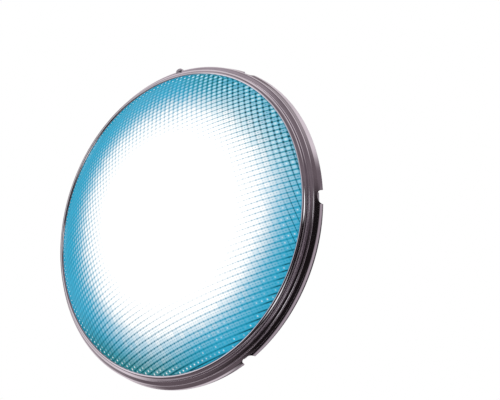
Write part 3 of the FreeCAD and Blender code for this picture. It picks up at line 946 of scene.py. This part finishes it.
class POOLLIGHT_OT_fittings(bpy.types.Operator):
    """Model the clips, hook, clamp hoop, its screw and nut, and the pilot screw"""

    bl_idname = "poollight.fittings"
    bl_label = "Clips, clamp and screws"

    PITCH = 0.7 * MM
    CLAMP_ROOT = 1.9 * MM
    CLAMP_CREST = 2.18 * MM
    CLAMP_HEAD = 4.0 * MM
    CLAMP_END = 0.4 * MM

    HEAD_RADIUS = 2.6 * MM
    HEAD_LENGTH = 1.8 * MM
    HEAD_EASE = 0.15 * MM
    SLOT_HALF_LENGTH = 4.0 * MM
    SLOT_HALF_WIDTH = 0.35 * MM
    SLOT_DEPTH = 0.9 * MM
    NECK_RADIUS = 1.75 * MM
    CORE_RADIUS = 1.6 * MM
    POINT_RADIUS = 1.0 * MM
    POINT_LENGTH = 2.0 * MM
    THREAD_START = 2.0 * MM
    PILOT_ROOT = 1.55 * MM
    PILOT_CREST = 1.95 * MM

    def execute(self, context):
        colours = context.scene.pool_light_colours
        satin = colours.satin_steel
        pressed = steel(
            "pressed_steel", satin, roughness=0.26, marks=0.15, scratch_scale=1800.0, grain=0.12,
        )
        turned = steel(
            "turned_steel", toned(satin, 1.1),
            roughness=0.20, marks=0.12, scratch_scale=2600.0, grain=0.08,
        )
        for node in ("ring_clips", "bottom_hook", "tension_clamp"):
            piece = softened_copy(node, f"{node}_finished")
            finish_piece(piece, pressed, "pressed_steel", node)
        nut = softened_copy("clamp_nut", "clamp_nut_finished")
        finish_piece(nut, turned, "fastener_steel", "clamp_nut")
        finish_piece(self.clamp_screw(), turned, "fastener_steel", "clamp_screw")
        finish_piece(self.pilot_screw(), turned, "fastener_steel", "pilot_screw", body="screw")
        return {"FINISHED"}

    def clamp_screw(self):
        middle = [(low + high) / 2 for low, high in zip(*CLAMP_SCREW_BOX)]
        screw = softened_copy("clamp_screw", "clamp_screw_finished")
        start = CLAMP_SCREW_BOX[0][0] + self.CLAMP_HEAD
        end = CLAMP_SCREW_BOX[1][0] - self.CLAMP_END
        thread = helix(
            "clamp_thread", self.CLAMP_ROOT, self.CLAMP_CREST, self.PITCH, start, end,
            (0, middle[1], middle[2]), (1, 0, 0),
        )
        return joined([screw, thread])

    def pilot_screw(self):
        """Slotted screw with a plain neck, a cut thread and a tapered point."""
        height = (PILOT_BOX[0][2] + PILOT_BOX[1][2]) / 2
        front = PILOT_BOX[0][1]
        neck = front + self.HEAD_LENGTH
        tip = PILOT_BOX[1][1]
        start = self.THREAD_START
        end = tip - self.POINT_LENGTH
        head = self.turned("pilot_screw_finished", self.HEAD_RADIUS, front, neck, height, sides=48)
        slot = brick(
            "pilot_slot",
            (-self.SLOT_HALF_LENGTH, front - MM, height - self.SLOT_HALF_WIDTH),
            (self.SLOT_HALF_LENGTH, front + self.SLOT_DEPTH, height + self.SLOT_HALF_WIDTH),
        )
        combine(head, slot, "DIFFERENCE")
        ease_edges(head, self.HEAD_EASE)
        smooth(head)
        pieces = [
            head,
            self.turned("pilot_neck", self.NECK_RADIUS, neck, start, height),
            self.turned("pilot_core", self.CORE_RADIUS, start, end, height),
            self.turned("pilot_point", self.CORE_RADIUS, end, tip, height, end_radius=self.POINT_RADIUS),
            helix("pilot_thread", self.PILOT_ROOT, self.PILOT_CREST, self.PITCH, start, end,
                  (0, 0, height), BACKWARD),
        ]
        return joined(pieces)

    def turned(self, name, radius, front, back, height, sides=32, end_radius=None):
        """Round length of the pilot screw."""
        middle = (0, (front + back) / 2, height)
        piece = bar(name, radius, back - front, middle, BACKWARD, sides, end_radius)
        smooth(piece)
        return piece


class POOLLIGHT_OT_gland(bpy.types.Operator):
    """Model the cable gland at the back"""

    bl_idname = "poollight.gland"
    bl_label = "Cable gland"

    EASE = 0.4 * MM
    ROOT = 8.8 * MM
    CREST = 9.4 * MM
    PITCH = 1.4 * MM
    OVERLAP = 0.5 * MM

    def execute(self, context):
        metal = brass("gland_brass")
        for node in ("gland_cap", "gland_locknut"):
            piece = softened_copy(node, f"{node}_finished", self.EASE)
            finish_piece(piece, metal, "brass", node)
        body = softened_copy("gland_body", "gland_body_finished", self.EASE)
        start = LOCKNUT_BOX[1][1] - self.OVERLAP
        end = GLAND_CAP_BOX[0][1] + self.OVERLAP
        thread = helix(
            "gland_thread", self.ROOT, self.CREST, self.PITCH, start, end, (0, 0, 0), BACKWARD, sides=48,
        )
        finish_piece(joined([body, thread]), metal, "brass", "gland_body")
        return {"FINISHED"}


class POOLLIGHT_OT_inner_parts(bpy.types.Operator):
    """Give the inner parts their materials"""

    bl_idname = "poollight.inner_parts"
    bl_label = "Inner parts"

    def execute(self, context):
        colours = context.scene.pool_light_colours
        # Mouldings: colour, roughness, grain scale. Metals: colour, roughness, marks, scratch scale.
        finishes = {
            "seal_rubber": moulded("seal_rubber", (0.022, 0.022, 0.025), 0.62, 1400.0),
            "dark_plastic": moulded("dark_moulding", (0.012, 0.012, 0.014), 0.45, 900.0),
            "clear_plastic": moulded("clear_optic", (0.62, 0.68, 0.70), 0.08, 300.0, 0.05, 0.03),
            "circuit_board": moulded("white_solder_mask", (0.72, 0.73, 0.70), 0.38, 700.0, 0.05),
            "driver_board": moulded("green_solder_mask", (0.02, 0.13, 0.05), 0.32, 700.0),
            "thermal_pad": moulded("thermal_pad", (0.20, 0.22, 0.25), 0.80, 500.0),
            "white_emitter": moulded("phosphor", (0.85, 0.72, 0.25), 0.40, 800.0),
            "red_emitter": moulded("red_emitter", (0.60, 0.03, 0.02), 0.25, 800.0),
            "green_emitter": moulded("green_emitter", (0.03, 0.45, 0.06), 0.25, 800.0),
            "blue_emitter": moulded("blue_emitter", (0.03, 0.06, 0.60), 0.25, 800.0),
            "capacitor_can": steel("can_aluminium", (0.50, 0.52, 0.55), 0.30, 0.10, 900.0),
            "aluminium": steel("cast_aluminium", (0.60, 0.61, 0.62), 0.42, 0.30, 700.0),
            "ferrite": moulded("ferrite", (0.045, 0.040, 0.040), 0.60, 900.0),
            "terminal_plastic": moulded("terminal_moulding", (0.03, 0.16, 0.09), 0.42, 700.0),
            "pressed_steel": steel("bracket_steel", colours.satin_steel, 0.30, 0.15, 1500.0),
            "fastener_steel": steel("screw_steel", colours.satin_steel, 0.24, 0.12, 2200.0),
            "brass": brass("spacer_brass"),
        }
        for entry in frame["record"]["subparts"]:
            node = frame["nodes"][entry["node"]]
            material = finishes.get(entry["material_slot"])
            if material:
                node.data.materials.clear()
                node.data.materials.append(material)
        return {"FINISHED"}


def strip(axis, centre, half_width):
    """Both soft edges of a strip across an axis, each as the axis and where it starts and is full."""
    core = 0.3 * half_width
    return (axis, centre - half_width, centre - core), (axis, centre + half_width, centre + core)


class POOLLIGHT_OT_stage(bpy.types.Operator):
    """Set the floor, light and camera"""

    bl_idname = "poollight.stage"
    bl_label = "Stage, light and camera"

    AZIMUTH = math.radians(35.6)
    ELEVATION = math.radians(-16.3)
    DISTANCE = 0.8137
    SHIFT_RIGHT = 0.0543
    SHIFT_UP = 0.0196
    FOCAL_LENGTH = 72
    SENSOR_WIDTH = 36

    FLOOR_SIZE = 12
    FLOOR_DROP = 0.6
    FLOOR_COLOUR = (0.86, 0.86, 0.86, 1.0)
    WHITE = (1.0, 1.0, 1.0, 1.0)

    DARK = (0.012, 0.009, 0.010, 1.0)
    DIM = (0.16, 0.125, 0.14, 1.0)
    MIDDLE = (0.21, 0.17, 0.19, 1.0)
    MAUVE = (0.26, 0.20, 0.24, 1.0)
    LIGHT = (0.50, 0.43, 0.47, 1.0)
    PALE = (0.88, 0.80, 0.83, 1.0)
    BRIGHT = (1.6, 1.6, 1.6, 1.0)

    # What reflections see, by direction: Y points to the back of the light and Z up. Each patch is a colour
    # and its soft edges: an axis, where along it the patch starts and where it is full.
    ABOVE = ("Z", 0.06, 0.30)
    SHEET = (("X", -0.34, -0.50), ("X", -0.76, -0.66))
    BELOW = ("Z", -0.30, -0.50)
    RIGHT = (("X", -0.22, 0.04), ("Z", 0.46, 0.20))
    PATCHES = (
        (PALE, ("Z", 0.50, 0.72), ("Y", -0.50, -0.15)),
        (DIM, ("X", -0.45, -0.20), *strip("Y", 0.55, 0.27)),
        (LIGHT, BELOW, *strip("Y", -0.27, 0.10)),
        (PALE, BELOW, *strip("Y", 0.12, 0.16)),
        (DARK, BELOW, *strip("Y", -0.10, 0.06)),
        (PALE, ("X", -0.68, -0.86), ("Z", 0.20, -0.10)),
        (DARK, ("X", -0.60, -0.47), ("Z", 0.34, 0.16), ("Z", -0.46, -0.34)),
        (DARK, *RIGHT),
        (MAUVE, *RIGHT, *strip("Y", -0.93, 0.04)),
        (LIGHT, *RIGHT, *strip("Y", -0.60, 0.04)),
        (LIGHT, *RIGHT, *strip("Y", -0.08, 0.20)),
        (LIGHT, *RIGHT, BELOW, *strip("Y", 0.50, 0.06)),
        (BRIGHT, *strip("X", 0.32, 0.22), *strip("Z", -0.42, 0.26), *strip("Y", -0.80, 0.13)),
        (BRIGHT, ("X", 0.26, 0.36), *strip("Z", 0.20, 0.16), *strip("Y", -0.76, 0.10)),
        (LIGHT, ("Y", 0.74, 0.92)),
    )

    def execute(self, context):
        self.floor()
        self.world(context.scene)
        self.lights()
        self.camera(context.scene)
        context.scene.view_settings.view_transform = "Standard"
        return {"FINISHED"}

    def floor(self):
        clear_selection()
        bpy.ops.mesh.primitive_plane_add(size=self.FLOOR_SIZE, location=(0, 0, -self.FLOOR_DROP))
        floor = bpy.context.object
        floor.name = "floor"
        settle(floor)
        recipe = Recipe("pale_floor")
        recipe.set(Base_Color=self.FLOOR_COLOUR, Roughness=0.8)
        floor.data.materials.append(recipe.material)
        floor.visible_glossy = False

    def world(self, scene):
        """White all round; reflections see a dim studio with dark sides and bright strips instead."""
        world = bpy.data.worlds.new("studio")
        scene.world = world
        world.use_nodes = True
        nodes = NodeWriter(world.node_tree)
        nodes.tree.nodes.clear()
        place = nodes.add("ShaderNodeTexCoord").outputs["Generated"]
        axes = nodes.add("ShaderNodeSeparateXYZ", {"Vector": place}).outputs

        def within(*edges):
            return nodes.times(*(nodes.band(axes[axis], start, full) for axis, start, full in edges))

        upper = nodes.mix(within(*self.SHEET), self.MIDDLE, self.LIGHT)
        shade = nodes.mix(within(self.ABOVE), self.DIM, upper)
        for colour, *edges in self.PATCHES:
            shade = nodes.mix(within(*edges), shade, colour)
        studio = nodes.add("ShaderNodeBackground", {"Color": shade}).outputs[0]
        white = nodes.add("ShaderNodeBackground", {"Color": self.WHITE}).outputs[0]
        glossy_ray = nodes.add("ShaderNodeLightPath").outputs["Is Glossy Ray"]
        pick = nodes.add("ShaderNodeMixShader", {0: glossy_ray, 1: white, 2: studio}).outputs[0]
        nodes.add("ShaderNodeOutputWorld", {"Surface": pick})

    def lights(self):
        self.softbox(
            "key_softbox", place=(-0.7, -1.0, 0.9), target=(0, 0, 0),
            size=0.8, energy=8, seen=False,
        )
        self.softbox(
            "edge_card", place=(-0.27, -0.25, 0.075), target=(-0.12, 0, 0),
            size=0.24, energy=0.10, seen=True,
        )

    def softbox(self, name, place, target, size, energy, seen):
        """Square soft light; reflections show it only if it is seen."""
        bpy.ops.object.light_add(type="AREA", location=place)
        lamp = bpy.context.object
        lamp.name = name
        lamp.data.size = size
        lamp.data.energy = energy
        lamp.visible_glossy = seen
        lamp.visible_camera = False
        lamp.rotation_euler = (Vector(target) - lamp.location).to_track_quat("-Z", "Y").to_euler()

    def camera(self, scene):
        across, along = math.sin(self.AZIMUTH), math.cos(self.AZIMUTH)
        level = math.cos(self.ELEVATION)
        toward = Vector((across * level, -along * level, math.sin(self.ELEVATION)))
        right = Vector((along, across, 0))
        up = toward.cross(right)
        data = bpy.data.cameras.new("camera")
        data.lens = self.FOCAL_LENGTH
        data.sensor_width = self.SENSOR_WIDTH
        camera = bpy.data.objects.new("camera", data)
        turn = Matrix((right, up, toward)).transposed()
        camera.matrix_world = Matrix.Translation(
            toward * self.DISTANCE + right * self.SHIFT_RIGHT + up * self.SHIFT_UP
        ) @ turn.to_4x4()
        bpy.context.collection.objects.link(camera)
        scene.camera = camera


class POOLLIGHT_PT_panel(bpy.types.Panel):
    """Sidebar panel that lists the pieces"""

    bl_idname = "POOLLIGHT_PT_panel"
    bl_label = "Pool light"
    bl_space_type = "VIEW_3D"
    bl_region_type = "UI"
    bl_category = "Pool light"

    def draw(self, context):
        for group in (context.scene.pool_light_sizes, context.scene.pool_light_colours):
            box = self.layout.box()
            for key in group.__annotations__:
                box.prop(group, key)
        for operator in OPERATORS:
            self.layout.operator(operator.bl_idname)


OPERATORS = (
    POOLLIGHT_OT_stage,
    POOLLIGHT_OT_inner_parts,
    POOLLIGHT_OT_lens,
    POOLLIGHT_OT_face_ring,
    POOLLIGHT_OT_housing,
    POOLLIGHT_OT_fittings,
    POOLLIGHT_OT_gland,
)
CLASSES = (PoolLightSizes, PoolLightColours, *OPERATORS, POOLLIGHT_PT_panel)


def register():
    for item in CLASSES:
        bpy.utils.register_class(item)
    bpy.types.Scene.pool_light_sizes = PointerProperty(type=PoolLightSizes)
    bpy.types.Scene.pool_light_colours = PointerProperty(type=PoolLightColours)


def unregister():
    del bpy.types.Scene.pool_light_colours
    del bpy.types.Scene.pool_light_sizes
    for item in reversed(CLASSES):
        bpy.utils.unregister_class(item)


def main():
    register()
    bpy.ops.poollight.stage()
    bpy.ops.poollight.inner_parts()
    bpy.ops.poollight.lens()
    bpy.ops.poollight.face_ring()
    bpy.ops.poollight.housing()
    bpy.ops.poollight.fittings()
    bpy.ops.poollight.gland()


if __name__ == "__main__":
    main()
